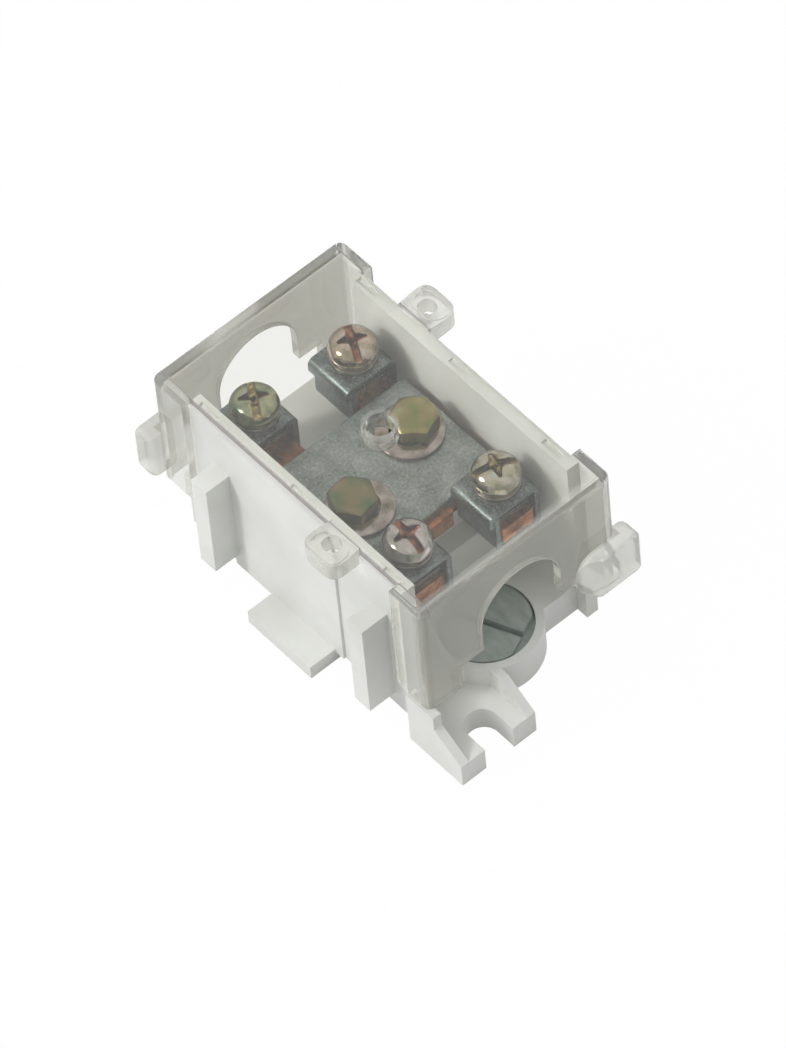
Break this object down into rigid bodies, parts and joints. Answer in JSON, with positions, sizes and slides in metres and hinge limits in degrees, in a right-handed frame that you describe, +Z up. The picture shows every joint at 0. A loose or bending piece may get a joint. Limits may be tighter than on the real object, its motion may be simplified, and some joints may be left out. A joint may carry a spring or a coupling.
{
  "type": "distribution terminal block",
  "caption": "Terminal block: moulded grey tray with a slotted lug, clear cover with arched cable ends, copper bar with a bolted clamp plate and screw-driven lift cages.",
  "frame": {"origin": "on the mounting surface, under the middle of the clear cover", "axes": "+X along the block towards the end with the slotted lug, +Y across it, +Z up from the mounting surface"},
  "size_m": [0.1029, 0.0666, 0.0523],
  "materials": {
    "tray": "light grey moulded thermoplastic, satin",
    "clear": "clear moulded polycarbonate, faintly warm grey",
    "disc": "slate grey moulded plastic",
    "copper": "bare rolled copper, sawn ends",
    "zinc": "bright zinc plated steel strip",
    "zinc_screw": "bright zinc plated steel",
    "chromate_bolt": "yellow chromate on zinc, olive",
    "chromate_screw": "yellow chromate on zinc, iridescent",
    "chromate_washer": "yellow chromate on zinc, pinkish"
  },
  "bodies": {
    "base": {"base_tray": "tray", "entry_disc": "disc", "copper_bar": "copper", "bar_screw_1": "zinc_screw", "bar_screw_2": "zinc_screw", "pressure_plate_far_left": "zinc", "pressure_plate_far_right": "zinc", "pressure_plate_near_left": "zinc", "pressure_plate_near_right": "zinc"},
    "cover": {"cover": "clear"},
    "centre_clamp": {"clamp_plate": "zinc", "bolt_washer_1": "chromate_washer", "bolt_washer_2": "chromate_washer"},
    "hex_bolt_1": {"hex_bolt_1": "chromate_bolt"},
    "hex_bolt_2": {"hex_bolt_2": "chromate_bolt"},
    "cage_far_left": {"cage_far_left": "zinc"},
    "screw_far_left": {"clamp_screw_far_left": "chromate_screw", "flat_washer_far_left": "chromate_washer", "spring_washer_far_left": "chromate_screw"},
    "cage_far_right": {"cage_far_right": "zinc"},
    "screw_far_right": {"clamp_screw_far_right": "chromate_screw", "flat_washer_far_right": "chromate_washer", "spring_washer_far_right": "chromate_screw"},
    "cage_near_left": {"cage_near_left": "zinc"},
    "screw_near_left": {"clamp_screw_near_left": "chromate_screw", "flat_washer_near_left": "chromate_washer", "spring_washer_near_left": "chromate_screw"},
    "cage_near_right": {"cage_near_right": "zinc"},
    "screw_near_right": {"clamp_screw_near_right": "chromate_screw", "flat_washer_near_right": "chromate_washer", "spring_washer_near_right": "chromate_screw"}
  },
  "joints": [
    {"name": "cover_lift", "type": "slide", "parent": "base", "child": "cover", "axis": [0, 0, 1], "range_m": [0, 0.05]},
    {"name": "centre_clamp_lift", "type": "slide", "parent": "base", "child": "centre_clamp", "axis": [0, 0, 1], "range_m": [0, 0.008]},
    {"name": "hex_bolt_1_turn", "type": "hinge", "parent": "centre_clamp", "child": "hex_bolt_1", "pos_m": [-0.0036, 0.012, 0.0366], "axis": [0, 0, 1], "range_deg": [0, 2881]},
    {"name": "hex_bolt_2_turn", "type": "hinge", "parent": "centre_clamp", "child": "hex_bolt_2", "pos_m": [0.0036, -0.012, 0.0366], "axis": [0, 0, 1], "range_deg": [0, 2881]},
    {"name": "cage_far_left_lift", "type": "slide", "parent": "base", "child": "cage_far_left", "axis": [0, 0, 1], "range_m": [-0.0036, 0]},
    {"name": "clamp_screw_far_left_turn", "type": "hinge", "parent": "base", "child": "screw_far_left", "pos_m": [-0.0275, -0.0129, 0.0425], "axis": [0, 0, 1], "range_deg": [0, 1297]},
    {"name": "cage_far_right_lift", "type": "slide", "parent": "base", "child": "cage_far_right", "axis": [0, 0, 1], "range_m": [-0.0036, 0]},
    {"name": "clamp_screw_far_right_turn", "type": "hinge", "parent": "base", "child": "screw_far_right", "pos_m": [-0.0245, 0.0129, 0.0425], "axis": [0, 0, 1], "range_deg": [0, 1297]},
    {"name": "cage_near_left_lift", "type": "slide", "parent": "base", "child": "cage_near_left", "axis": [0, 0, 1], "range_m": [-0.0036, 0]},
    {"name": "clamp_screw_near_left_turn", "type": "hinge", "parent": "base", "child": "screw_near_left", "pos_m": [0.0233, -0.0129, 0.0425], "axis": [0, 0, 1], "range_deg": [0, 1297]},
    {"name": "cage_near_right_lift", "type": "slide", "parent": "base", "child": "cage_near_right", "axis": [0, 0, 1], "range_m": [-0.0036, 0]},
    {"name": "clamp_screw_near_right_turn", "type": "hinge", "parent": "base", "child": "screw_near_right", "pos_m": [0.02285, 0.0129, 0.0425], "axis": [0, 0, 1], "range_deg": [0, 1297]}
  ],
  "couplings": [
    {"joint": "hex_bolt_1_turn", "follows": "centre_clamp_lift", "rad_per_m": 6283.2},
    {"joint": "hex_bolt_2_turn", "follows": "centre_clamp_lift", "rad_per_m": 6283.2},
    {"joint": "clamp_screw_far_left_turn", "follows": "cage_far_left_lift", "rad_per_m": -6283.2},
    {"joint": "clamp_screw_far_right_turn", "follows": "cage_far_right_lift", "rad_per_m": -6283.2},
    {"joint": "clamp_screw_near_left_turn", "follows": "cage_near_left_lift", "rad_per_m": -6283.2},
    {"joint": "clamp_screw_near_right_turn", "follows": "cage_near_right_lift", "rad_per_m": -6283.2}
  ]
}
